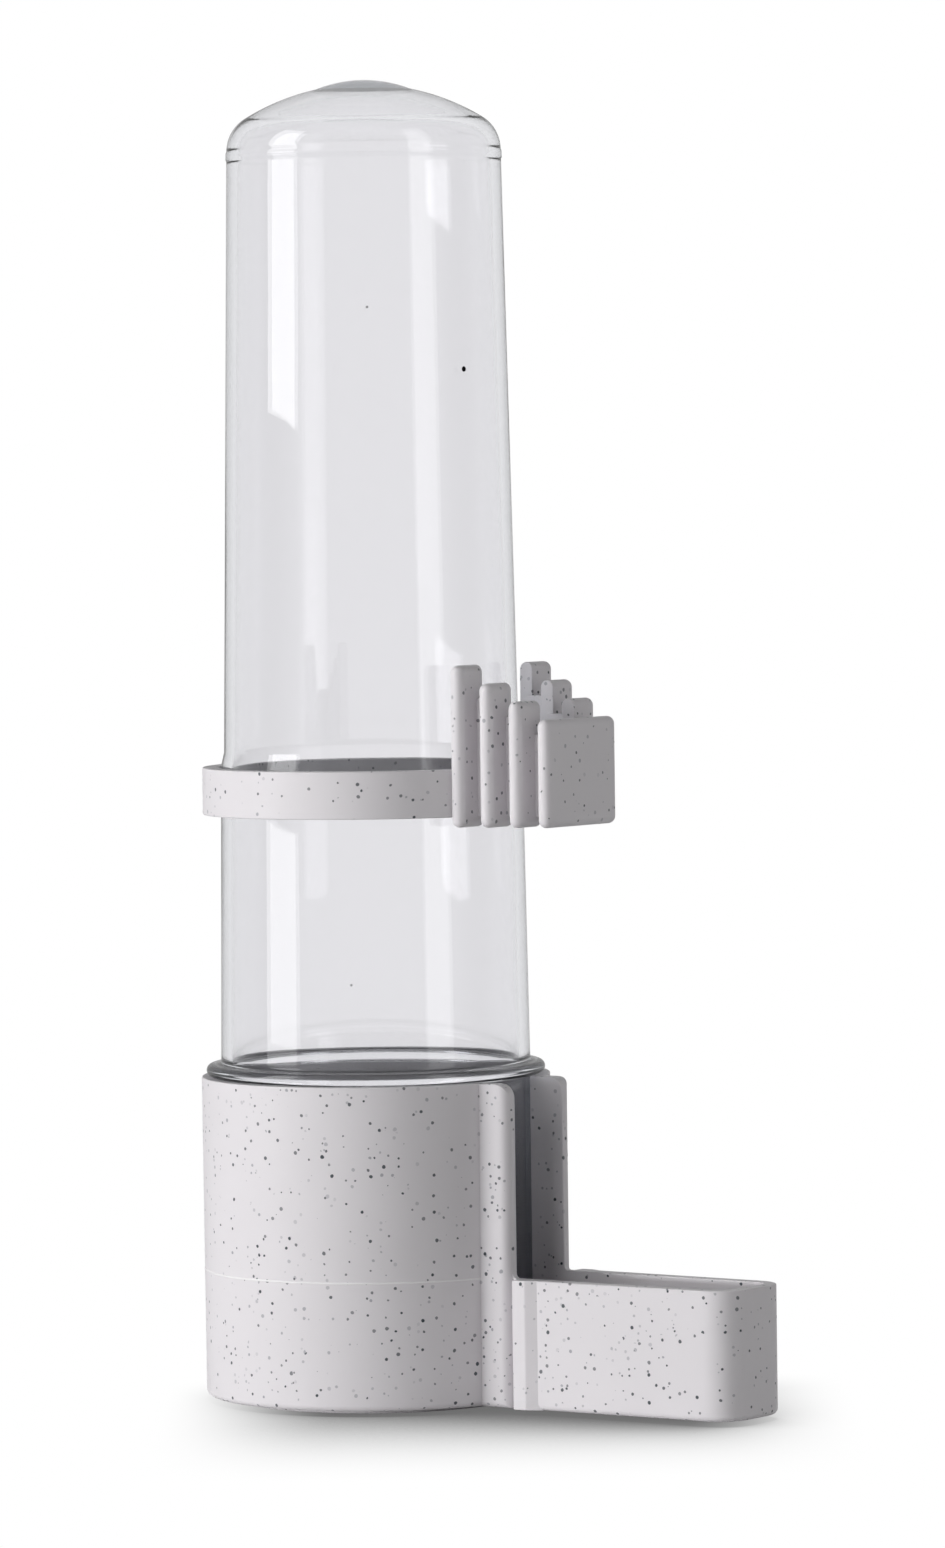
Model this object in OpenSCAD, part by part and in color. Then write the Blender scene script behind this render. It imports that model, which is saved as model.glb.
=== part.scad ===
// Bird waterer for the outside of a cage. A clear reservoir tube stands mouth down
// in a moulded cup, the cup feeds a drinking trough that reaches in between the wires,
// and a comb clip round the tube holds the wires in its slots.
// Sizes are in millimetres. Z runs up the tube's axis from the surface that the
// waterer stands on, and X runs along the trough.

/* [Reservoir tube] */
// Height of the whole waterer, from the foot to the top of the tube
overall_h = 160; // [130:1:220]
// Outside diameter of the tube just above its flange
tube_d = 37.6; // [32:0.2:50]
// Wall of the tube
tube_wall = 1.3; // [1:0.1:1.8]
// Draft of the tube below the shoulder, in degrees
lower_draft = 0.75; // [0.5:0.05:1.1]
// Draft of the tube above the shoulder, in degrees
upper_draft = 1.03; // [0.5:0.01:1.2]
// Height of the shoulder above the cup's rim
shoulder_up = 37.6; // [25:0.2:60]
// How far the shoulder steps in
shoulder_step = 0.4; // [0.2:0.05:0.6]
// Height of the shoulder's slope
shoulder_h = 1.8; // [1:0.1:3]
// Thickness of the flange that rests on the cup's rim
flange_t = 1.5; // [1.2:0.1:2.5]
// Fillet between the flange and the tube
flange_fillet = 0.6; // [0.3:0.1:0.8]
// How far the spigot stands out beyond the tube
spigot_step = 0.7; // [0.3:0.05:1]
// How far the spigot narrows towards the mouth
spigot_draft = 0.15; // [0:0.05:0.3]
// Height of the tube's open mouth above the ground
mouth_z = 12; // [8:0.5:14]

/* [Dome of the tube] */
// Height of the dome, from the end of the straight wall to its crown
dome_h = 8; // [6.5:0.1:10]
// Radius of the dome's outer corner
dome_corner_r = 4.6; // [3:0.1:5.5]
// Diameter of the low button at the middle of the dome
button_d = 11.6; // [6:0.2:16]
// Height of the button above the crown
button_h = 0.5; // [0.3:0.05:1]
// Height of the mould line round the foot of the dome
mould_line_h = 1.2; // [0.6:0.1:2]
// How far the mould line stands proud
mould_line_proud = 0.12; // [0.05:0.01:0.3]

/* [Cup] */
// Height of the cup's rim above the ground
cup_h = 39.4; // [32:0.2:50]
// Wall of the cup
cup_wall = 1.3; // [1:0.1:2]
// Clearance between the spigot and the cup's bore, on the radius
spigot_clear = 0.4; // [0.3:0.05:0.6]
// Width of the rim that shows outside the flange
rim_reveal = 0.6; // [0.3:0.05:0.9]
// How far the cup narrows from rim to bottom, on the radius
cup_draft = 0.1; // [0:0.05:0.3]
// Thickness of the floor
floor_t = 1.8; // [1.2:0.1:2.5]
// Height of the foot disc
foot_h = 0.6; // [0.3:0.1:1.5]
// How far the foot disc is set in from the cup's wall
foot_inset = 3.7; // [2:0.1:8]
// Radius of the lower outside edges
lower_edge_r = 0.8; // [0.4:0.1:1.2]

/* [Trough] */
// Length of the trough beyond the cup's wall
trough_len = 34.2; // [22:0.2:45]
// Outside width of the trough at the end of the cheeks
trough_w = 13.8; // [12:0.2:18]
// Angle by which each side of the trough closes in towards its end, in degrees
trough_taper = 1.1; // [0.2:0.1:2]
// Wall of the trough and of the cheeks
trough_wall = 1.9; // [1.4:0.1:2.2]
// Height of the trough's rim above the ground
trough_h = 16.1; // [15:0.1:22]
// Radius of the trough's outer end corners
trough_corner_r = 4.2; // [3:0.1:5]

/* [Cheeks and wire grooves] */
// Length of the cheeks beyond the cup's wall
cheek_len = 2.8; // [2.4:0.1:5]
// Radius of the cheeks' top corner
cheek_corner_r = 1.8; // [0.8:0.1:2.4]
// Fillet between the cheeks' end and the trough's rim
cheek_fillet = 0.6; // [0.3:0.1:0.8]
// Radius of the upright outer edge at the end of each cheek
cheek_edge_r = 1.3; // [1:0.05:1.5]
// Width of the wire groove between cheek and rib
groove_w = 0.9; // [0.8:0.1:3]
// Depth of the wire groove
groove_depth = 1; // [0.6:0.05:1]
// How far the ribs stand out from the trough's sides
rib_proud = 0.6; // [0.3:0.05:1.3]
// Width of the flat face of the ribs
rib_face = 1.8; // [1:0.1:3]
// Length of the slope in front of the ribs
rib_slope = 1.2; // [0.5:0.1:2]

/* [Cage clip band] */
// Height of the band
band_h = 5.7; // [4:0.1:9]
// Thickness of the band
band_t = 2.05; // [1.5:0.05:3]
// Clearance between the band and the tube, on the radius
band_clear = 0.17; // [0.15:0.01:0.3]

/* [Comb of the cage clip] */
// Thickness of the fins and of the end plate
fin_t = 1.85; // [1.4:0.05:2.4]
// Width of the wire slots between them
wire_slot = 1.75; // [1.4:0.05:3]
// How far the back of the first fins lies inside the band's outer face
fin_inset = 2.25; // [1.6:0.05:2.3]
// Width of a fin from the pocket to its tip
fin_w = 4.65; // [3.6:0.05:5]
// Width of the end plate
plate_w = 14.8; // [13.4:0.1:18]
// Height of the end plate
plate_h = 12.9; // [10:0.1:18]
// How far the fins and the plate reach below the band
fin_drop = 1.2; // [0.6:0.1:2]
// How much further out each fin reaches than the one in front of it
step_out = 0.83; // [0.4:0.01:1]
// How much taller each fin is than the one in front of it
step_up = 2.15; // [1:0.05:3]
// Thickness of the arms that carry the fins
arm_t = 1.5; // [1.2:0.1:2]
// How far the arms' top edge lies below each fin's top
arm_drop = 4; // [2:0.1:5]

/* [Hidden] */

$fn = 96;
// Extra length of a cutter past the face that it cuts
past = 1;
// Steps in a quarter of a rounded edge
arc_steps = 8;
// Fin pairs in front of the band, each one step lower and narrower
fin_pairs = 3;

// Tube
tube_r = tube_d / 2;
flange_top = cup_h + flange_t;
shoulder_z = cup_h + shoulder_up;
shoulder_top = shoulder_z + shoulder_h;
dome_z = overall_h - button_h - dome_h;
spigot_r = tube_r + spigot_step;

// Cup and trough
bore_r = spigot_r + spigot_clear;
cup_r = bore_r + cup_wall;
flange_r = cup_r - rim_reveal;
floor_z = foot_h + floor_t;
trough_end = cup_r + trough_len;
channel_w = trough_w - 2 * trough_wall;
channel_corner_r = max(trough_corner_r - trough_wall, 0.5);
cheek_end = cup_r + cheek_len;

// Clip
band_top = shoulder_z;
band_bottom = band_top - band_h;
band_bore_r = lower_r(band_bottom) + band_clear;
band_r = band_bore_r + band_t;
fin_pitch = fin_t + wire_slot;
comb_bottom = band_bottom - fin_drop;
plate_top = comb_bottom + plate_h;

// Outside radius of the tube at a height below or above its shoulder
function lower_r(z) = tube_r - (z - flange_top) * tan(lower_draft);
function upper_r(z) = lower_r(shoulder_z) - shoulder_step - (z - shoulder_top) * tan(upper_draft);

// Place and size of one row of the comb, row 0 being the fins at the band
function row_x(row) = band_r - fin_inset + row * fin_pitch;
function row_tip(row) = plate_w / 2 + (fin_pairs - row) * step_out;
function row_pocket(row) = row_tip(row) - fin_w;
function row_top(row) = plate_top + (fin_pairs - row) * step_up;

// Points along an arc about a centre, from one angle to another
function arc(centre, r, from, to, steps = arc_steps) = [
    for (i = [0:steps])
        let (a = from + (to - from) * i / steps)
        centre + r * [cos(a), sin(a)]
];

// Radius of the crown that runs into the dome's corner without a break
function crown_r(wall_r, corner_r, rise) =
    (pow(wall_r - corner_r, 2) + rise * rise - corner_r * corner_r) / (2 * (rise - corner_r));

// Half outline of the dome, drawn inside the tube's outer face by inset
function dome(inset, edge_r) =
    let (
        wall_r = upper_r(dome_z) - inset,
        corner_r = dome_corner_r - inset,
        rise = dome_h - inset,
        big_r = crown_r(wall_r, corner_r, rise),
        big_z = dome_z + rise - big_r,
        meet = atan2(dome_z - big_z, wall_r - corner_r),
        edge = acos(edge_r / big_r)
    )
    concat(
        arc([wall_r - corner_r, dome_z], corner_r, 0, meet),
        arc([0, big_z], big_r, meet + (edge - meet) / (2 * arc_steps), edge, 2 * arc_steps)
    );

// Button on the crown, a shallower cap that meets the crown at its edge
function button() =
    let (
        big_r = crown_r(upper_r(dome_z), dome_corner_r, dome_h),
        edge_r = button_d / 2,
        cap_h = button_h + big_r - sqrt(big_r * big_r - edge_r * edge_r),
        cap_r = (edge_r * edge_r + cap_h * cap_h) / (2 * cap_h),
        edge = acos(edge_r / cap_r)
    )
    arc([0, overall_h - cap_r], cap_r, edge + (90 - edge) / arc_steps, 90);

module tube_outside() {
    line_low = dome_z - mould_line_h;
    rotate_extrude()
        polygon(concat(
            [[0, mouth_z], [spigot_r - spigot_draft, mouth_z], [spigot_r, cup_h]],
            arc([flange_r - flange_t / 2, cup_h + flange_t / 2], flange_t / 2, -90, 90),
            arc([tube_r + flange_fillet, flange_top + flange_fillet], flange_fillet, 270, 180),
            [[lower_r(shoulder_z), shoulder_z], [upper_r(shoulder_top), shoulder_top]],
            [[upper_r(line_low), line_low], [upper_r(line_low) + mould_line_proud, line_low]],
            [[upper_r(dome_z) + mould_line_proud, dome_z]],
            dome(0, button_d / 2),
            button()
        ));
}

module tube_inside() {
    rotate_extrude()
        polygon(concat(
            [[0, mouth_z - past], [spigot_r - spigot_draft - tube_wall, mouth_z - past]],
            [[spigot_r - tube_wall, cup_h], [tube_r - tube_wall, flange_top]],
            [[lower_r(shoulder_z) - tube_wall, shoulder_z]],
            [[upper_r(shoulder_top) - tube_wall, shoulder_top]],
            dome(tube_wall, 0)
        ));
}

module reservoir_tube() {
    color([0.82, 0.89, 0.93, 0.45])
        difference() {
            tube_outside();
            tube_inside();
        }
}

// Outer half of an upright section whose lower corner is rounded
module lower_rounded(half_w, z0, z1, edge_r) {
    polygon(concat(
        [[0, z1], [0, z0]],
        arc([half_w - edge_r, z0 + edge_r], edge_r, -90, 0),
        [[half_w, z1]]
    ));
}

// Straight run of a tub along X from the axis, rounded along both lower edges
module tub_sides(length, w, z0, z1, edge_r) {
    for (side = [0, 1])
        mirror([0, side, 0])
            rotate([90, 0, 90])
                linear_extrude(length)
                    lower_rounded(w / 2, z0, z1, edge_r);
}

// End of a tub, with the centres of its upright corners at x and at y on both sides
module tub_end(x, y, z0, z1, corner_r, edge_r) {
    for (side = [-1, 1])
        translate([x, side * y, 0])
            rotate_extrude()
                lower_rounded(corner_r, z0, z1, edge_r);
    translate([x, y, 0])
        rotate([90, 0, 0])
            linear_extrude(2 * y)
                lower_rounded(corner_r, z0, z1, edge_r);
}

// Trough as a solid block, straight between the cheeks and closing in beyond them.
// The filling laps into the sides and corners by a third of the corner radius.
module trough_outside() {
    x = trough_end - trough_corner_r;
    y = trough_w / 2 - (x - cheek_end) * tan(trough_taper) - trough_corner_r / cos(trough_taper);
    run = x - cheek_end + cheek_edge_r / 2;
    lap = trough_corner_r / 3;
    wide = y + run * tan(trough_taper) + lap;
    tub_sides(cheek_end, trough_w, foot_h, trough_h, lower_edge_r);
    for (side = [0, 1])
        mirror([0, side, 0])
            translate([x, y, 0])
                rotate([0, 0, -trough_taper])
                    translate([-run, 0, 0])
                        rotate([90, 0, 90])
                            linear_extrude(run)
                                lower_rounded(trough_corner_r, foot_h, trough_h, lower_edge_r);
    tub_end(x, y, foot_h, trough_h, trough_corner_r, lower_edge_r);
    translate([0, 0, foot_h])
        linear_extrude(trough_h - foot_h)
            polygon([[x - run, -wide], [x + lap, -y - lap], [x + lap, y + lap], [x - run, wide]]);
}

// Space inside the trough, open between the cheeks up to the rim of the cup
module trough_inside() {
    x = trough_end - trough_wall - channel_corner_r;
    edge_r = min(lower_edge_r, channel_corner_r);
    tub_sides(x, channel_w, floor_z, cup_h + past, edge_r);
    tub_end(x, channel_w / 2 - channel_corner_r, floor_z, cup_h + past, channel_corner_r, edge_r);
}

module cup_outside() {
    low_r = cup_r - cup_draft;
    rotate_extrude()
        polygon(concat(
            [[0, cup_h], [0, foot_h]],
            arc([low_r - lower_edge_r, foot_h + lower_edge_r], lower_edge_r, -90, 0),
            [[cup_r, cup_h]]
        ));
    cylinder(r = cup_r - foot_inset, h = foot_h + lower_edge_r);
}

// Both sides of the trough, each with its origin on the outer face at the cheek's end
module on_both_sides() {
    for (side = [0, 1])
        mirror([0, side, 0])
            translate([cheek_end, trough_w / 2, 0])
                children();
}

// Cheek from the cup out to its end, with a rounded top corner and a fillet at its foot
module cheek() {
    low = foot_h + lower_edge_r;
    rotate([90, 0, 0])
        linear_extrude(trough_wall)
            polygon(concat(
                [[-cheek_end, low], [0, low]],
                arc([-cheek_corner_r, cup_h - cheek_corner_r], cheek_corner_r, 0, 90),
                [[-cheek_end, cup_h]]
            ));
    translate([0, -groove_depth, 0])
        rotate([90, 0, 0])
            linear_extrude(trough_wall - groove_depth)
                polygon(concat(
                    [[-cheek_corner_r, low], [cheek_fillet, low]],
                    arc([cheek_fillet, trough_h + cheek_fillet], cheek_fillet, 270, 180),
                    [[-cheek_corner_r, trough_h + cheek_fillet]]
                ));
}

// Rib in front of the wire, square towards the wire and sloped towards the trough's end.
// The slope runs on into the wall by half the rib's height.
module rib() {
    face_end = groove_w + rib_face;
    slope_end = face_end + 1.5 * rib_slope;
    translate([0, 0, foot_h])
        linear_extrude(trough_h - foot_h)
            polygon([
                [groove_w, -trough_wall / 2],
                [groove_w, rib_proud],
                [face_end, rib_proud],
                [slope_end, -rib_proud / 2],
                [slope_end, -trough_wall / 2]
            ]);
}

// Cutter for the wire groove, which also rounds the cheek's outer edge above it
module wire_groove() {
    translate([0, 0, foot_h - past])
        linear_extrude(cup_h - foot_h + 2 * past)
            difference() {
                translate([-cheek_edge_r, -groove_depth])
                    square([cheek_edge_r + groove_w, groove_depth + past]);
                translate([-cheek_edge_r, -cheek_edge_r])
                    circle(r = cheek_edge_r);
            }
}

// Bore that takes the tube's spigot, down to the floor
module cup_bore() {
    rotate_extrude()
        lower_rounded(bore_r, floor_z, cup_h + past, lower_edge_r);
}

module drinker_base() {
    color([0.81, 0.81, 0.83])
        difference() {
            union() {
                cup_outside();
                trough_outside();
                on_both_sides() {
                    cheek();
                    rib();
                }
            }
            cup_bore();
            trough_inside();
            on_both_sides()
                wire_groove();
        }
}

// Plate in the YZ plane whose free edges and corners are fully rounded, from pocket
// side to tip
module round_edged(pocket, tip, bottom, top) {
    r = fin_t / 2;
    translate([r, 0, 0]) {
        translate([-r, pocket, bottom + r])
            cube([fin_t, tip - r - pocket, top - bottom - fin_t]);
        translate([0, tip - r, bottom + r])
            cylinder(r = r, h = top - bottom - fin_t);
        for (z = [bottom + r, top - r]) {
            translate([0, pocket, z])
                rotate([-90, 0, 0])
                    cylinder(r = r, h = tip - r - pocket);
            translate([0, tip - r, z])
                sphere(r = r);
        }
    }
}

// Half of the comb: its fins, the stepped arm behind them and half the end plate
module comb_side() {
    for (row = [0:fin_pairs - 1]) {
        translate([row_x(row), 0, 0])
            round_edged(row_pocket(row), row_tip(row), comb_bottom, row_top(row));
        translate([0, 0, band_bottom])
            linear_extrude(row_top(row) - arm_drop - band_bottom)
                polygon([
                    [row_x(row) + fin_t / 2, row_pocket(row)],
                    [row_x(row) + fin_t / 2, row_pocket(row) + arm_t],
                    [row_x(row + 1) + fin_t / 2, row_pocket(row + 1) + arm_t],
                    [row_x(row + 1) + fin_t / 2, row_pocket(row + 1)]
                ]);
    }
    translate([row_x(fin_pairs), 0, 0])
        round_edged(0, row_tip(fin_pairs), comb_bottom, plate_top);
}

module cage_clip() {
    color([0.81, 0.81, 0.83])
        difference() {
            union() {
                translate([0, 0, band_bottom])
                    cylinder(r = band_r, h = band_h);
                for (side = [0, 1])
                    mirror([0, side, 0])
                        comb_side();
            }
            translate([0, 0, comb_bottom - past])
                cylinder(r = band_bore_r, h = row_top(0) - comb_bottom + 2 * past);
        }
}

drinker_base();
reservoir_tube();
cage_clip();
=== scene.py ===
import math

import bmesh
import bpy
from mathutils import Matrix, Vector


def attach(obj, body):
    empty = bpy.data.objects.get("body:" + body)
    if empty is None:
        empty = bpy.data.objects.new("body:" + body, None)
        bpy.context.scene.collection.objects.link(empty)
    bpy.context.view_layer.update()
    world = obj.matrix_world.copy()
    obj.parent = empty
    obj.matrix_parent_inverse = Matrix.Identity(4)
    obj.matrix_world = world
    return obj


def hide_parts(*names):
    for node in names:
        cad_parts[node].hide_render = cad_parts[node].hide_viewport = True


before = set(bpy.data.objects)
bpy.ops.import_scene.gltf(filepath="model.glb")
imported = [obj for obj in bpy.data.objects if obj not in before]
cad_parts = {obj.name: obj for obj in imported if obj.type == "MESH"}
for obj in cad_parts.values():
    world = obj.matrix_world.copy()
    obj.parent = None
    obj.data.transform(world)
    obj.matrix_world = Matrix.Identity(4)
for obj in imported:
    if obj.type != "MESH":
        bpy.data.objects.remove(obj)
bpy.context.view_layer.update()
scene = bpy.context.scene
mm = 0.001
white = (1, 1, 1, 1)


def addNode(tree, kind, inputs=None, **settings):
    node = tree.nodes.new(kind)
    for name, value in settings.items():
        setattr(node, name, value)
    for name, value in (inputs or {}).items():
        if isinstance(value, bpy.types.NodeSocket):
            tree.links.new(value, node.inputs[name])
        else:
            node.inputs[name].default_value = value
    return node


def mathNode(tree, operation, a, b=0.0):
    return addNode(tree, "ShaderNodeMath", {0: a, 1: b}, operation=operation).outputs[0]


def vectorNode(tree, operation, a, b=(0, 0, 0)):
    return addNode(tree, "ShaderNodeVectorMath", {0: a, 1: b}, operation=operation)


def rangeNode(tree, value, source, target, easing="LINEAR"):
    node = addNode(tree, "ShaderNodeMapRange", {
        "Value": value, "From Min": source[0], "From Max": source[1],
        "To Min": target[0], "To Max": target[1]}, interpolation_type=easing)
    return node.outputs[0]


def noiseNode(tree, place, scale, detail):
    return addNode(tree, "ShaderNodeTexNoise", {"Vector": place, "Scale": scale, "Detail": detail})


def mixColours(tree, share, first, second):
    node = addNode(tree, "ShaderNodeMix", {"Factor": share, 6: first, 7: second}, data_type="RGBA")
    return node.outputs[2]


def mixShaders(tree, share, first, second):
    return addNode(tree, "ShaderNodeMixShader", {0: share, 1: first.outputs[0], 2: second.outputs[0]})


def objectCoords(tree):
    return addNode(tree, "ShaderNodeTexCoord").outputs["Object"]


def newMaterial(name):
    material = bpy.data.materials.new(name)
    material.use_nodes = True
    material.node_tree.nodes.clear()
    return material


cameraView = {
    "azimuth": 35.0,      # degrees round from the trough's near side
    "distance": 937.5,    # mm, from the tube's axis
    "sideways": 12.22,    # mm, to the right
    "height": 114.19,     # mm
    "pitch": 0.041,       # radians down
    "roll": -0.013,       # radians
    "focal": 7719.0,      # pixels in a 945 x 1548 image
    "imageHeight": 1548,
    "sensor": 36.0,       # mm
    "near": 0.05,         # metres
    "far": 30.0,
}


def makeCamera(view):
    turn = math.radians(view["azimuth"])
    right = Vector((math.cos(turn), math.sin(turn), 0))
    ahead = Vector((-math.sin(turn), math.cos(turn), 0))
    place = (right * view["sideways"] - ahead * view["distance"]) * mm
    place.z = view["height"] * mm
    look = ahead * math.cos(view["pitch"]) - Vector((0, 0, math.sin(view["pitch"])))
    up = right.cross(look)
    tilt = view["roll"]
    sideAxis = right * math.cos(tilt) + up * math.sin(tilt)
    upAxis = up * math.cos(tilt) - right * math.sin(tilt)
    data = bpy.data.cameras.new("photoCamera")
    data.sensor_width = view["sensor"]
    data.lens = view["focal"] * view["sensor"] / view["imageHeight"]
    data.clip_start = view["near"]
    data.clip_end = view["far"]
    camera = bpy.data.objects.new("photoCamera", data)
    scene.collection.objects.link(camera)
    turned = Matrix((sideAxis, upAxis, -look)).transposed()
    camera.matrix_world = Matrix.Translation(place) @ turned.to_4x4()
    scene.camera = camera
    print("camera at", [round(v, 4) for v in place], "lens", round(data.lens, 2))


makeCamera(cameraView)
scene.view_settings.view_transform = "Standard"


# turn is in degrees to the right of the camera, as seen from the object, and lengths are in metres
studioLamps = {
    "leftStrip": {"turn": -73, "low": 0.144, "high": 0.85, "distance": 0.75, "width": 0.36, "level": 2.65},
    "leftLow": {"turn": -73, "low": 0.0, "high": 0.05, "distance": 0.75, "width": 0.36, "level": 2.0},
    "leftLowSoft": {"turn": -70, "low": 0.0, "high": 0.08, "distance": 1.20, "width": 0.58, "level": 56.0},
    "leftGlow": {"turn": -48, "low": 0.05, "high": 0.90, "distance": 0.95, "width": 0.30, "level": 0.25},
    "leftSoft": {"turn": -35, "low": 0.05, "high": 0.60, "distance": 0.90, "width": 0.40, "level": 2.75},
    "rightStrip": {"turn": 50, "low": 0.01, "high": 0.80, "distance": 0.60, "width": 0.22, "level": 1.1},
    "rightFill": {"turn": 100, "low": 0.01, "high": 0.80, "distance": 0.60, "width": 0.22, "level": 1.7},
    "backFill": {"turn": 180, "low": 0.05, "high": 0.70, "distance": 1.00, "width": 0.60, "level": 2.2},
}
# these light the plastic only and never show as a reflection
softLamps = ("leftLowSoft", "leftSoft", "rightFill", "backFill")
topPanel = {"turn": -30, "distance": 1.0, "rise": 82, "aim": 0.05, "size": 0.9, "level": 0.12}


def aroundCamera(turn, distance):
    angle = math.radians(cameraView["azimuth"] + turn)
    return Vector((math.sin(angle) * distance, -math.cos(angle) * distance, 0))


def addLamp(name, place, aimHeight, width, tall, level):
    data = bpy.data.lights.new(name, "AREA")
    data.shape = "RECTANGLE"
    data.size = width
    data.size_y = tall
    data.energy = level * math.pi * width * tall
    lamp = bpy.data.objects.new(name, data)
    scene.collection.objects.link(lamp)
    lamp.location = place
    lamp.rotation_euler = (Vector((0, 0, aimHeight)) - place).to_track_quat("-Z", "Y").to_euler()
    lamp.visible_camera = False
    lamp.visible_glossy = name not in softLamps
    lamp.visible_transmission = name not in softLamps


def makeLamps():
    for name, lamp in studioLamps.items():
        place = aroundCamera(lamp["turn"], lamp["distance"])
        place.z = (lamp["low"] + lamp["high"]) / 2
        addLamp(name, place, place.z, lamp["width"], lamp["high"] - lamp["low"], lamp["level"])
    rise = math.radians(topPanel["rise"])
    place = aroundCamera(topPanel["turn"], topPanel["distance"] * math.cos(rise))
    place.z = topPanel["distance"] * math.sin(rise)
    addLamp("topPanel", place, topPanel["aim"], topPanel["size"], topPanel["size"], topPanel["level"])


makeLamps()


surroundings = {
    "lightTint": (0.97, 0.98, 1.0, 1),
    "light": 0.01,        # what the backdrop gives as light
    "seen": 1.0,          # seen through the tube, straight ahead and behind
    "side": 0.62,         # seen through the tube, off to the sides
    "narrow": 0.10,       # the change from side to seen, as a cosine
    "wide": 0.60,
    "mirrored": 0.40,     # seen in a reflection
}


def seesBackdrop(tree):
    path = addNode(tree, "ShaderNodeLightPath")
    share = mathNode(tree, "MAXIMUM", path.outputs["Is Camera Ray"], path.outputs["Is Glossy Ray"])
    share = mathNode(tree, "MAXIMUM", share, path.outputs["Is Transmission Ray"])
    direct = mathNode(tree, "LESS_THAN", path.outputs["Diffuse Depth"], 0.5)
    return mathNode(tree, "MULTIPLY", share, direct)


def backdropLevel(tree, direction):
    look = surroundings
    turn = math.radians(cameraView["azimuth"])
    unit = vectorNode(tree, "NORMALIZE", direction).outputs[0]
    ahead = vectorNode(tree, "DOT_PRODUCT", unit, (-math.sin(turn), math.cos(turn), 0)).outputs["Value"]
    spread = rangeNode(tree, mathNode(tree, "ABSOLUTE", ahead), (look["narrow"], look["wide"]),
                       (look["side"], look["seen"]), "SMOOTHSTEP")
    path = addNode(tree, "ShaderNodeLightPath")
    through = addNode(tree, "ShaderNodeMix", {
        "Factor": path.outputs["Is Transmission Ray"], "A": look["mirrored"], "B": spread}).outputs[0]
    return mathNode(tree, "MAXIMUM", through, path.outputs["Is Camera Ray"])


def makeWorld(look):
    world = bpy.data.worlds.new("studio")
    scene.world = world
    world.use_nodes = True
    tree = world.node_tree
    tree.nodes.clear()
    way = addNode(tree, "ShaderNodeTexCoord").outputs["Generated"]
    dim = addNode(tree, "ShaderNodeBackground", {"Color": look["lightTint"], "Strength": look["light"]})
    bright = addNode(tree, "ShaderNodeBackground", {"Color": white, "Strength": backdropLevel(tree, way)})
    mixed = mixShaders(tree, seesBackdrop(tree), dim, bright)
    addNode(tree, "ShaderNodeOutputWorld", {"Surface": mixed.outputs[0]})


makeWorld(surroundings)


# the shade is deepest in front of the waterer and dies away to the sides
# lengths are in metres, and places are counted from the tube's axis as the camera sees it
floorLook = {
    "size": 12.0,
    "bounce": 0.88,       # what the floor throws back as light
    "lit": 0.04,          # the share of the shade that the lamps light
    "reach": 0.12,        # how far away the waterer still shades the floor
    "power": 2.1,
    "least": 0.16,
    "samples": 16,
    "left": -0.005,
    "right": 0.036,
    "sideFade": 0.022,
    "front": 0.025,
    "frontFade": 0.056,
    "back": 0.0,
    "backFade": 0.020,
}


def fadeOut(tree, value, start, length):
    return rangeNode(tree, value, (start, start + length), (1.0, 0.0), "SMOOTHSTEP")


def shadedRegion(tree, coords, look):
    turn = -math.radians(cameraView["azimuth"])
    turned = addNode(tree, "ShaderNodeMapping", {"Vector": coords, "Rotation": (0, 0, turn)})
    place = addNode(tree, "ShaderNodeSeparateXYZ", {0: turned.outputs[0]})
    right = place.outputs[0]
    away = place.outputs[1]
    left = mathNode(tree, "MULTIPLY", right, -1.0)
    towards = mathNode(tree, "MULTIPLY", away, -1.0)
    share = fadeOut(tree, right, look["right"], look["sideFade"])
    for side, start, length in ((left, -look["left"], look["sideFade"]),
                                (towards, look["front"], look["frontFade"]),
                                (away, look["back"], look["backFade"])):
        share = mathNode(tree, "MULTIPLY", share, fadeOut(tree, side, start, length))
    return share


def floorShade(tree, look):
    lit = addNode(tree, "ShaderNodeBsdfDiffuse", {"Color": (look["lit"],) * 3 + (1,)})
    nearby = addNode(tree, "ShaderNodeAmbientOcclusion", {"Distance": look["reach"]},
                     samples=look["samples"])
    deep = mathNode(tree, "POWER", nearby.outputs["AO"], look["power"])
    glow = mathNode(tree, "MULTIPLY", mathNode(tree, "MAXIMUM", deep, look["least"]), 1.0 - look["lit"])
    lift = addNode(tree, "ShaderNodeEmission", {"Color": white, "Strength": glow})
    return addNode(tree, "ShaderNodeAddShader", {0: lit.outputs[0], 1: lift.outputs[0]})


def makeFloor(look):
    half = look["size"] / 2
    corners = [(-half, -half, 0), (half, -half, 0), (half, half, 0), (-half, half, 0)]
    mesh = bpy.data.meshes.new("studioFloor")
    mesh.from_pydata(corners, [], [(0, 1, 2, 3)])
    floor = bpy.data.objects.new("studioFloor", mesh)
    scene.collection.objects.link(floor)
    material = newMaterial("studioFloor")
    tree = material.node_tree
    coords = objectCoords(tree)
    bounce = addNode(tree, "ShaderNodeBsdfDiffuse", {"Color": (look["bounce"],) * 3 + (1,)})
    plain = addNode(tree, "ShaderNodeEmission", {"Color": white, "Strength": backdropLevel(tree, coords)})
    seen = mixShaders(tree, shadedRegion(tree, coords, look), plain, floorShade(tree, look))
    mixed = mixShaders(tree, seesBackdrop(tree), bounce, seen)
    addNode(tree, "ShaderNodeOutputMaterial", {"Surface": mixed.outputs[0]})
    mesh.materials.append(material)


makeFloor(floorLook)
print("studio ready with", len(studioLamps) + 1, "lamps")


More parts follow.
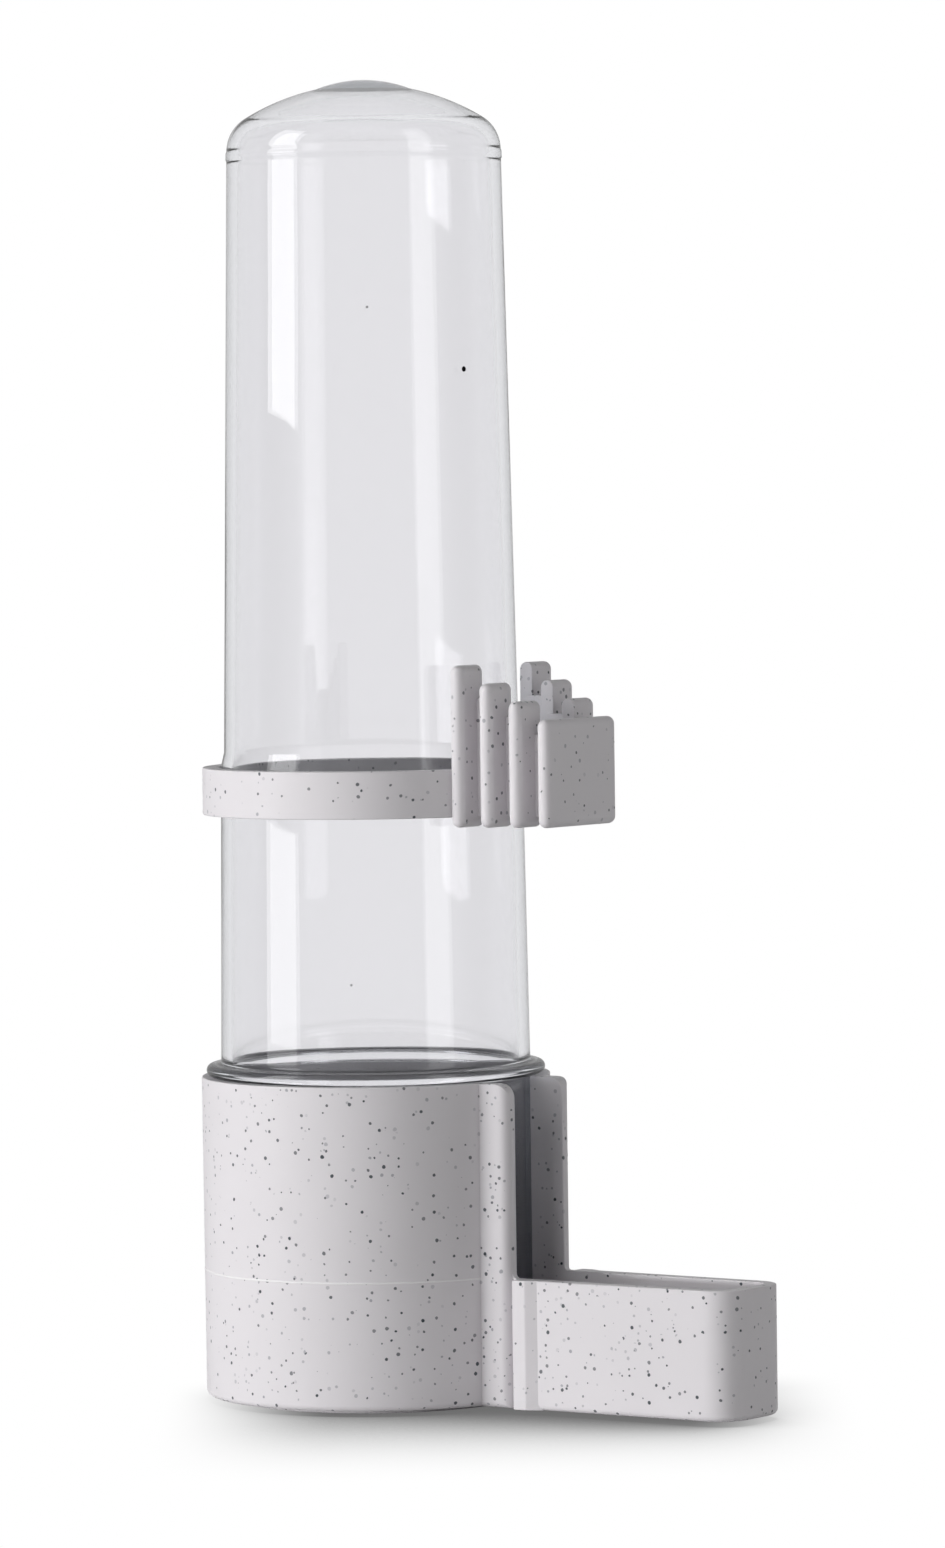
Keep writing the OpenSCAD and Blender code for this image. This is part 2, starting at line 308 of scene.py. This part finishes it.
speckledLook = {
    "colour": (0.730, 0.706, 0.729),
    "darker": 0.975,          # the colour drifts between these two shares of itself
    "lighter": 1.02,
    "driftScale": 90.0,
    "roughness": 0.38,
    "roughnessDrift": 0.06,
    "specular": 0.85,
    "ior": 1.49,
    "grainScale": 1400.0,
    "grainStrength": 0.12,
    "grainHeight": 0.00003,   # metres
    "raggedScale": 2500.0,    # the specks' edges
    "ragged": 0.00015,        # metres
    "speckEdge": 0.78,        # where a speck starts to fade, as a share of its radius
    "crowdScale": 110.0,
    "crowdRange": (0.3, 0.7),
    "crowding": 0.5,          # how much more or less often specks come from place to place
    "seedStep": (0.731, 0.377, 0.519),
    "darkSpeck": (0.012, 0.024, 0.036, 1),
    "faintSpeck": (0.25, 0.255, 0.29, 1),
}
# cell is the mean distance between specks in mm, small and large are their radius in mm,
# share is how many cells hold one, and weak is the faintest one's strength
speckLayers = [
    {"colour": "faintSpeck", "cell": 1.00, "small": 0.12, "large": 0.28, "share": 0.42, "weak": 0.25,
     "strength": 0.75},
    {"colour": "darkSpeck", "cell": 1.10, "small": 0.13, "large": 0.27, "share": 0.60, "weak": 0.65,
     "strength": 1.0},
]


def speckMask(tree, coords, layer, seed):
    look = speckledLook
    cell = layer["cell"]
    offset = [seed * step for step in look["seedStep"]]
    moved = addNode(tree, "ShaderNodeMapping", {"Vector": coords, "Location": offset}).outputs[0]
    cells = addNode(tree, "ShaderNodeTexVoronoi", {"Vector": moved, "Scale": 1 / (cell * mm)},
                    voronoi_dimensions="3D", feature="F1")
    chance = addNode(tree, "ShaderNodeSeparateColor", {0: cells.outputs["Color"]}).outputs
    radius = rangeNode(tree, chance[0], (0.0, 1.0), (layer["small"] / cell, layer["large"] / cell))
    reach = mathNode(tree, "DIVIDE", cells.outputs["Distance"], radius)
    dot = rangeNode(tree, reach, (1.0, look["speckEdge"]), (0.0, 1.0), "SMOOTHSTEP")
    crowd = noiseNode(tree, moved, look["crowdScale"], 1.0).outputs["Fac"]
    fewest = layer["share"] * (1 - look["crowding"])
    most = layer["share"] * (1 + look["crowding"])
    share = rangeNode(tree, crowd, look["crowdRange"], (fewest, most))
    present = mathNode(tree, "LESS_THAN", chance[1], share)
    depth = rangeNode(tree, chance[2], (0.0, 1.0), (layer["weak"], 1.0))
    strength = mathNode(tree, "MULTIPLY", depth, layer["strength"])
    return mathNode(tree, "MULTIPLY", mathNode(tree, "MULTIPLY", dot, present), strength)


def speckledColour(tree, coords, drift, seed):
    look = speckledLook
    ragged = noiseNode(tree, coords, look["raggedScale"], 2.0).outputs["Color"]
    shift = vectorNode(tree, "SUBTRACT", ragged, (0.5, 0.5, 0.5)).outputs[0]
    small = addNode(tree, "ShaderNodeVectorMath", {0: shift, "Scale": look["ragged"]}, operation="SCALE")
    warped = vectorNode(tree, "ADD", coords, small.outputs[0]).outputs[0]
    dark = tuple(c * look["darker"] for c in look["colour"]) + (1,)
    light = tuple(c * look["lighter"] for c in look["colour"]) + (1,)
    colour = mixColours(tree, drift, dark, light)
    for number, layer in enumerate(speckLayers):
        mask = speckMask(tree, warped, layer, seed + number)
        colour = mixColours(tree, mask, colour, look[layer["colour"]])
    return colour


def makeSpeckled(name, seed):
    look = speckledLook
    material = newMaterial(name)
    tree = material.node_tree
    coords = objectCoords(tree)
    drift = noiseNode(tree, coords, look["driftScale"], 3.0).outputs["Fac"]
    roughness = rangeNode(tree, drift, (0.0, 1.0), (look["roughness"] - look["roughnessDrift"],
                                                    look["roughness"] + look["roughnessDrift"]))
    grain = noiseNode(tree, coords, look["grainScale"], 3.0).outputs["Fac"]
    bump = addNode(tree, "ShaderNodeBump", {
        "Strength": look["grainStrength"], "Distance": look["grainHeight"], "Height": grain})
    shader = addNode(tree, "ShaderNodeBsdfPrincipled", {
        "Base Color": speckledColour(tree, coords, drift, seed), "Roughness": roughness,
        "Normal": bump.outputs[0], "IOR": look["ior"], "Specular IOR Level": look["specular"]})
    addNode(tree, "ShaderNodeOutputMaterial", {"Surface": shader.outputs[0]})
    return material


clearLook = {
    "tint": (0.908, 0.899, 0.911, 1),
    "roughness": 0.012,
    "ior": 1.57,
    "depthColour": (0.35, 0.50, 0.62, 1),
    "depthDensity": 30.0,
    "shadow": (0.88, 0.885, 0.89, 1),
    "waveStretch": (1, 1, 0.12),    # the wall's faint waves run up the tube
    "waveScale": 160.0,
    "waveStrength": 0.05,
    "waveHeight": 0.0004,           # metres
    "spigotTop": 0.0392,            # metres up from the foot
    "spigotClear": 0.6,
    "buttonFoot": 0.1588,           # metres up from the foot
    "buttonClear": 0.6,
    "straightTint": (0.936, 0.932, 0.939, 1),
    "fleckColour": (0.012, 0.012, 0.014, 1),
}
# dark flecks on the tube's outer skin: place and radius in mm, and how dark
tubeFlecks = [
    {"place": (16.769, -3.351, 124.77), "radius": 0.33, "strength": 1.0},
    {"place": (10.044, -13.673, 132.24), "radius": 0.16, "strength": 0.6},
    {"place": (8.501, -16.613, 51.45), "radius": 0.16, "strength": 0.5},
]


# the spigot in the slot and the thin button on the dome let more light straight through than the wall
def straightShare(tree, coords):
    look = clearLook
    height = addNode(tree, "ShaderNodeSeparateXYZ", {0: coords}).outputs[2]
    isSpigot = mathNode(tree, "LESS_THAN", height, look["spigotTop"])
    isButton = mathNode(tree, "GREATER_THAN", height, look["buttonFoot"])
    spigot = mathNode(tree, "MULTIPLY", isSpigot, look["spigotClear"])
    button = mathNode(tree, "MULTIPLY", isButton, look["buttonClear"])
    return mathNode(tree, "ADD", spigot, button)


def addFlecks(tree, coords, surface):
    dark = addNode(tree, "ShaderNodeBsdfDiffuse", {"Color": clearLook["fleckColour"]})
    for fleck in tubeFlecks:
        middle = [c * mm for c in fleck["place"]]
        away = vectorNode(tree, "DISTANCE", coords, middle).outputs["Value"]
        spot = mathNode(tree, "LESS_THAN", away, fleck["radius"] * mm)
        surface = mixShaders(tree, mathNode(tree, "MULTIPLY", spot, fleck["strength"]), surface, dark)
    return surface


def makeClear(name):
    look = clearLook
    material = newMaterial(name)
    tree = material.node_tree
    coords = objectCoords(tree)
    stretched = addNode(tree, "ShaderNodeMapping", {"Vector": coords, "Scale": look["waveStretch"]})
    waves = noiseNode(tree, stretched.outputs[0], look["waveScale"], 2.0).outputs["Fac"]
    bump = addNode(tree, "ShaderNodeBump", {
        "Strength": look["waveStrength"], "Distance": look["waveHeight"], "Height": waves})
    bent = addNode(tree, "ShaderNodeBsdfPrincipled", {
        "Base Color": look["tint"], "Roughness": look["roughness"], "IOR": look["ior"],
        "Transmission Weight": 1.0, "Normal": bump.outputs[0]})
    straight = addNode(tree, "ShaderNodeBsdfTransparent", {"Color": look["straightTint"]})
    surface = addFlecks(tree, coords, mixShaders(tree, straightShare(tree, coords), bent, straight))
    through = addNode(tree, "ShaderNodeBsdfTransparent", {"Color": look["shadow"]})
    isShadow = addNode(tree, "ShaderNodeLightPath").outputs["Is Shadow Ray"]
    mixed = mixShaders(tree, isShadow, surface, through)
    depth = addNode(tree, "ShaderNodeVolumeAbsorption", {
        "Color": look["depthColour"], "Density": look["depthDensity"]})
    addNode(tree, "ShaderNodeOutputMaterial", {"Surface": mixed.outputs[0], "Volume": depth.outputs[0]})
    return material


def makePlain(name, colour, roughness):
    material = newMaterial(name)
    tree = material.node_tree
    shader = addNode(tree, "ShaderNodeBsdfPrincipled", {"Base Color": colour, "Roughness": roughness})
    addNode(tree, "ShaderNodeOutputMaterial", {"Surface": shader.outputs[0]})
    return material


def treeInput(tree, name, kind, value=None):
    socket = tree.interface.new_socket(name, in_out="INPUT", socket_type="NodeSocket" + kind)
    if value is not None:
        socket.default_value = value
    return socket.identifier


def closeTree(tree, given, geometry):
    real = addNode(tree, "GeometryNodeRealizeInstances", {"Geometry": geometry.outputs[0]})
    coated = addNode(tree, "GeometryNodeSetMaterial", {
        "Geometry": real.outputs[0], "Material": given.outputs["Material"]})
    result = tree.nodes.new("NodeGroupOutput")
    tree.links.new(coated.outputs[0], result.inputs[0])


# the working object becomes a plain mesh at the origin, and goes with its modifiers
def settle(obj, name):
    evaluated = obj.evaluated_get(bpy.context.evaluated_depsgraph_get())
    mesh = bpy.data.meshes.new_from_object(evaluated)
    mesh.name = name
    piece = bpy.data.objects.new(name, mesh)
    scene.collection.objects.link(piece)
    bpy.data.objects.remove(obj)
    return piece


# a chain of points is turned into a closed piece by a Geometry Nodes tree
def growPiece(name, points, tree, inputs, sharp):
    mesh = bpy.data.meshes.new(name + "Path")
    mesh.from_pydata(points, [(i, i + 1) for i in range(len(points) - 1)], [])
    obj = bpy.data.objects.new(name + "Path", mesh)
    scene.collection.objects.link(obj)
    modifier = obj.modifiers.new("shape", "NODES")
    modifier.node_group = tree
    for identifier, value in inputs.items():
        modifier[identifier] = value
    piece = settle(obj, name)
    work = bmesh.new()
    work.from_mesh(piece.data)
    bmesh.ops.recalc_face_normals(work, faces=work.faces)
    work.to_mesh(piece.data)
    work.free()
    piece.data.shade_smooth()
    piece.data.set_sharp_from_angle(angle=math.radians(sharp))
    return piece


# lengths in mm, the drafts and sharp in degrees
tubeSizes = {
    "height": 160.0, "bodyRadius": 18.8, "wall": 1.3, "lowerDraft": 0.75, "upperDraft": 1.03,
    "cupRim": 39.4, "flange": 1.5, "flangeRadius": 20.6, "flangeFillet": 0.6,
    "spigotRadius": 19.5, "spigotDraft": 0.15, "spigotTop": 0.2, "mouth": 12.0, "lip": 0.25,
    "shoulder": 77.0, "shoulderRise": 1.8, "shoulderStep": 0.4, "shoulderEase": 0.1,
    "dome": 8.0, "domeCorner": 4.6, "button": 11.6, "buttonRise": 0.5,
    "mouldLine": 1.2, "mouldLineProud": 0.10, "mouldLineEase": 0.2,
    "filletGap": 0.4, "edgeGap": 0.3, "innerGap": 0.5,    # plain wall left beside an edge
    "merge": 0.002, "sharp": 40,
}
# how many pieces each stretch of the profile is cut into
tubeSteps = {"around": 224, "lip": 4, "rim": 16, "fillet": 8, "lower": 12, "upper": 24,
             "corner": 10, "crown": 16, "cap": 10}


def arcPoints(centre, radius, start, end, steps):
    turns = [math.radians(start + (end - start) * i / steps) for i in range(steps + 1)]
    return [(centre[0] + radius * math.cos(turn), centre[1] + radius * math.sin(turn)) for turn in turns]


def wallPoints(radiusAt, low, high, steps):
    heights = [low + (high - low) * i / steps for i in range(steps + 1)]
    return [(radiusAt(z), z) for z in heights]


def tubeProfile(s, steps):
    wall = s["wall"]
    lip = s["lip"]
    gap = s["edgeGap"]
    fillet = s["flangeFillet"]
    half = s["flange"] / 2
    flangeTop = s["cupRim"] + s["flange"]
    shoulder = s["shoulder"]
    shoulderTop = shoulder + s["shoulderRise"]
    domeFoot = s["height"] - s["buttonRise"] - s["dome"]
    lineFoot = domeFoot - s["mouldLine"]
    mouthRadius = s["spigotRadius"] - s["spigotDraft"]
    buttonRadius = s["button"] / 2

    def lower(z):
        return s["bodyRadius"] - (z - flangeTop) * math.tan(math.radians(s["lowerDraft"]))

    def upper(z):
        taper = (z - shoulderTop) * math.tan(math.radians(s["upperDraft"]))
        return lower(shoulder) - s["shoulderStep"] - taper

    def domePoints(inset, edgeRadius):
        corner = s["domeCorner"] - inset
        reach = upper(domeFoot) - inset - corner
        risen = s["dome"] - inset
        crown = (reach ** 2 + risen ** 2 - corner ** 2) / (2 * (risen - corner))
        crownZ = domeFoot + risen - crown
        meet = math.degrees(math.atan2(domeFoot - crownZ, reach))
        edge = math.degrees(math.acos(edgeRadius / crown))
        first = meet + (edge - meet) / steps["crown"]
        return (arcPoints((reach, domeFoot), corner, 0, meet, steps["corner"])
                + arcPoints((0, crownZ), crown, first, edge, steps["crown"])), crown

    def capPoints(crown):
        rise = s["buttonRise"] + crown - math.sqrt(crown ** 2 - buttonRadius ** 2)
        radius = (buttonRadius ** 2 + rise ** 2) / (2 * rise)
        start = math.degrees(math.acos(buttonRadius / radius))
        first = start + (90 - start) / steps["cap"]
        return arcPoints((0, s["height"] - radius), radius, first, 90, steps["cap"])

    outer = arcPoints((mouthRadius - lip, s["mouth"] + lip), lip, -90, 0, steps["lip"])
    outer += [(s["spigotRadius"], s["cupRim"] - s["spigotTop"]), (s["spigotRadius"], s["cupRim"])]
    outer += arcPoints((s["flangeRadius"] - half, s["cupRim"] + half), half, -90, 90, steps["rim"])
    outer += arcPoints((s["bodyRadius"] + fillet, flangeTop + fillet), fillet, 270, 180, steps["fillet"])
    outer += wallPoints(lower, flangeTop + fillet + s["filletGap"], shoulder - gap, steps["lower"])
    outer += [(lower(shoulder), shoulder + s["shoulderEase"]), (upper(shoulderTop), shoulderTop)]
    outer += wallPoints(upper, shoulderTop + gap, lineFoot - gap, steps["upper"])
    outer += [(upper(lineFoot), lineFoot),
              (upper(lineFoot) + s["mouldLineProud"], lineFoot + s["mouldLineEase"]),
              (upper(domeFoot) + s["mouldLineProud"], domeFoot - s["mouldLineEase"]),
              (upper(domeFoot), domeFoot)]
    shell, crown = domePoints(0, buttonRadius)
    outer += shell[1:]
    outer += capPoints(crown)
    inner = domePoints(wall, 0)[0][::-1]
    inner += wallPoints(lambda z: upper(z) - wall, domeFoot - gap, shoulderTop + gap, steps["upper"])
    inner += [(upper(shoulderTop) - wall, shoulderTop), (lower(shoulder) - wall, shoulder)]
    lowest = flangeTop + s["innerGap"]
    inner += wallPoints(lambda z: lower(z) - wall, shoulder - gap, lowest, steps["lower"])
    inner += [(s["bodyRadius"] - wall, flangeTop), (s["spigotRadius"] - wall, s["cupRim"])]
    inner += arcPoints((mouthRadius - wall + lip, s["mouth"] + lip), lip, 180, 270, steps["lip"])
    return [(r * mm, 0, z * mm) for r, z in outer + inner + outer[:1]]


# a grid with a column for each step round the axis and a row for each point of the profile
def latheTree():
    tree = bpy.data.node_groups.new("tubeLathe", "GeometryNodeTree")
    treeInput(tree, "Profile", "Geometry")
    stepsInput = treeInput(tree, "Steps", "Int", 96)
    mergeInput = treeInput(tree, "Merge", "Float", 0.000002)
    materialInput = treeInput(tree, "Material", "Material")
    tree.interface.new_socket("Geometry", in_out="OUTPUT", socket_type="NodeSocketGeometry")
    given = tree.nodes.new("NodeGroupInput")
    profile = given.outputs["Profile"]
    steps = given.outputs["Steps"]
    count = addNode(tree, "GeometryNodeAttributeDomainSize", {"Geometry": profile}).outputs["Point Count"]
    columns = mathNode(tree, "ADD", steps, 1.0)
    grid = addNode(tree, "GeometryNodeMeshGrid", {"Vertices X": columns, "Vertices Y": count})
    index = addNode(tree, "GeometryNodeInputIndex").outputs[0]
    column = mathNode(tree, "FLOOR", mathNode(tree, "DIVIDE", index, count))
    row = mathNode(tree, "SUBTRACT", index, mathNode(tree, "MULTIPLY", column, count))
    place = addNode(tree, "GeometryNodeInputPosition").outputs[0]
    sampled = addNode(tree, "GeometryNodeSampleIndex", {"Geometry": profile, "Index": row},
                      data_type="FLOAT_VECTOR", domain="POINT")
    tree.links.new(place, next(s for s in sampled.inputs if s.name == "Value" and s.enabled))
    found = next(s for s in sampled.outputs if s.enabled)
    parts = addNode(tree, "ShaderNodeSeparateXYZ", {0: found}).outputs
    angle = mathNode(tree, "DIVIDE", mathNode(tree, "MULTIPLY", column, math.tau), steps)
    x = mathNode(tree, "MULTIPLY", parts[0], mathNode(tree, "COSINE", angle))
    y = mathNode(tree, "MULTIPLY", parts[0], mathNode(tree, "SINE", angle))
    spot = addNode(tree, "ShaderNodeCombineXYZ", {0: x, 1: y, 2: parts[2]}).outputs[0]
    turned = addNode(tree, "GeometryNodeSetPosition", {"Geometry": grid.outputs[0], "Position": spot})
    closed = addNode(tree, "GeometryNodeMergeByDistance", {
        "Geometry": turned.outputs[0], "Distance": given.outputs["Merge"]})
    closeTree(tree, given, closed)
    return tree, stepsInput, mergeInput, materialInput


def makeTube(sizes, steps):
    tree, stepsInput, mergeInput, materialInput = latheTree()
    plastic = makeClear("clearPlastic")
    inputs = {stepsInput: steps["around"], mergeInput: sizes["merge"] * mm, materialInput: plastic}
    piece = growPiece("reservoirTube", tubeProfile(sizes, steps), tree, inputs, sizes["sharp"])
    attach(piece, "reservoir")
    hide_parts("reservoir_tube")
    print("tube has", len(piece.data.polygons), "faces")


makeTube(tubeSizes, tubeSteps)


# the two speckled pieces keep the solids' shape, with their sharp edges broken, edge in mm
mouldedPieces = {
    "drinkerBase": {"node": "drinker_base", "body": "base", "edge": 0.15, "seed": 1},
    "cageClip": {"node": "cage_clip", "body": "clip", "edge": 0.15, "seed": 5},
}
edgeFinish = {
    "merge": 0.002,       # mm
    "sliver": 0.01,       # mm
    "flat": 0.4,          # degrees, below this two faces are one
    "sharp": 20.0,        # degrees, below this an edge stays as it is and is shaded smooth
    "fold": 120.0,        # degrees, above this an edge is left alone
    "room": 1.3,          # face needed beside a broken edge, as a multiple of its width
    "segments": 3,
    "upright": 1e-9,      # metres, an outline edge this square to the measured one is passed over
    "touching": 1e-8,     # metres, a crossing nearer than this is the measured edge itself
}


# how far a face runs inwards from the middle of one of its edges
def reachAcross(edge, face):
    loop = next(corner for corner in face.loops if corner.edge == edge)
    middle = (edge.verts[0].co + edge.verts[1].co) / 2
    along = (loop.link_loop_next.vert.co - loop.vert.co).normalized()
    inward = face.normal.cross(along)
    reach = []
    for other in face.edges:
        first, second = (vert.co - middle for vert in other.verts)
        start = first.dot(along)
        end = second.dot(along)
        if other == edge or start * end > 0 or abs(start - end) < edgeFinish["upright"]:
            continue
        depth = first.lerp(second, start / (start - end)).dot(inward)
        if depth > edgeFinish["touching"]:
            reach.append(depth)
    return min(reach, default=0.0)


def markEdges(work, width):
    weight = work.edges.layers.float.new("bevel_weight_edge")
    broken = 0
    for edge in work.edges:
        angle = math.degrees(edge.calc_face_angle(0))
        if angle < edgeFinish["sharp"]:
            continue
        room = min(reachAcross(edge, face) for face in edge.link_faces)
        if edge.is_convex and angle < edgeFinish["fold"] and room > width * edgeFinish["room"]:
            edge[weight] = 1.0
            broken += 1
        else:
            edge.smooth = False
    return broken


def makeMoulded(name, look):
    width = look["edge"] * mm
    work = bmesh.new()
    work.from_mesh(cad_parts[look["node"]].data)
    bmesh.ops.remove_doubles(work, verts=work.verts, dist=edgeFinish["merge"] * mm)
    bmesh.ops.dissolve_degenerate(work, dist=edgeFinish["sliver"] * mm, edges=work.edges)
    bmesh.ops.dissolve_limit(work, angle_limit=math.radians(edgeFinish["flat"]),
                             verts=work.verts, edges=work.edges)
    for face in work.faces:
        face.smooth = True
    broken = markEdges(work, width)
    mesh = bpy.data.meshes.new(look["node"] + "Copy")
    work.to_mesh(mesh)
    work.free()
    loadedNormals = mesh.attributes.get("custom_normal")
    if loadedNormals:
        mesh.attributes.remove(loadedNormals)
    obj = bpy.data.objects.new(look["node"] + "Copy", mesh)
    scene.collection.objects.link(obj)
    bevel = obj.modifiers.new("brokenEdges", "BEVEL")
    bevel.width = width
    bevel.segments = edgeFinish["segments"]
    bevel.limit_method = "WEIGHT"
    bevel.miter_outer = "MITER_ARC"
    bevel.use_clamp_overlap = False
    bevel.harden_normals = True
    piece = settle(obj, name)
    piece.data.materials.clear()
    piece.data.materials.append(makeSpeckled(name + "Plastic", look["seed"]))
    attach(piece, look["body"])
    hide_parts(look["node"])
    print(name, "has", len(piece.data.polygons), "faces and", broken, "broken edges")


for name, look in mouldedPieces.items():
    makeMoulded(name, look)


# the fine raised line round the cup, from one cheek to the other, level with the trough's rim
# lengths in mm, angles in degrees from the trough
witnessRing = {
    "height": 16.0, "radius": 21.06, "section": 0.14, "from": 18.0, "to": 342.0,
    # the line's colour is lighter than the cup's plastic: a painted highlight along the raised line
    "steps": 200, "sides": 10, "sharp": 50, "colour": (0.86, 0.85, 0.86, 1), "roughness": 0.35,
}


def ringTree():
    tree = bpy.data.node_groups.new("sweptRing", "GeometryNodeTree")
    treeInput(tree, "Path", "Geometry")
    sectionInput = treeInput(tree, "Section", "Float", 0.0001)
    sidesInput = treeInput(tree, "Sides", "Int", 8)
    materialInput = treeInput(tree, "Material", "Material")
    tree.interface.new_socket("Geometry", in_out="OUTPUT", socket_type="NodeSocketGeometry")
    given = tree.nodes.new("NodeGroupInput")
    curve = addNode(tree, "GeometryNodeMeshToCurve", {"Mesh": given.outputs["Path"]})
    outline = addNode(tree, "GeometryNodeCurvePrimitiveCircle", {
        "Resolution": given.outputs["Sides"], "Radius": given.outputs["Section"]})
    swept = addNode(tree, "GeometryNodeCurveToMesh", {
        "Curve": curve.outputs[0], "Profile Curve": outline.outputs[0], "Fill Caps": True})
    closeTree(tree, given, swept)
    return tree, sectionInput, sidesInput, materialInput


def makeRing(ring):
    spots = arcPoints((0, 0), ring["radius"], ring["from"], ring["to"], ring["steps"])
    path = [(x * mm, y * mm, ring["height"] * mm) for x, y in spots]
    tree, sectionInput, sidesInput, materialInput = ringTree()
    # this material carries the painted highlight, a lighter colour than the cup's own plastic
    plastic = makePlain("witnessHighlightPlastic", ring["colour"], ring["roughness"])
    inputs = {sectionInput: ring["section"] * mm, sidesInput: ring["sides"], materialInput: plastic}
    piece = growPiece("cupWitnessLine", path, tree, inputs, ring["sharp"])
    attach(piece, "base")
    print("witness line has", len(piece.data.polygons), "faces")


makeRing(witnessRing)
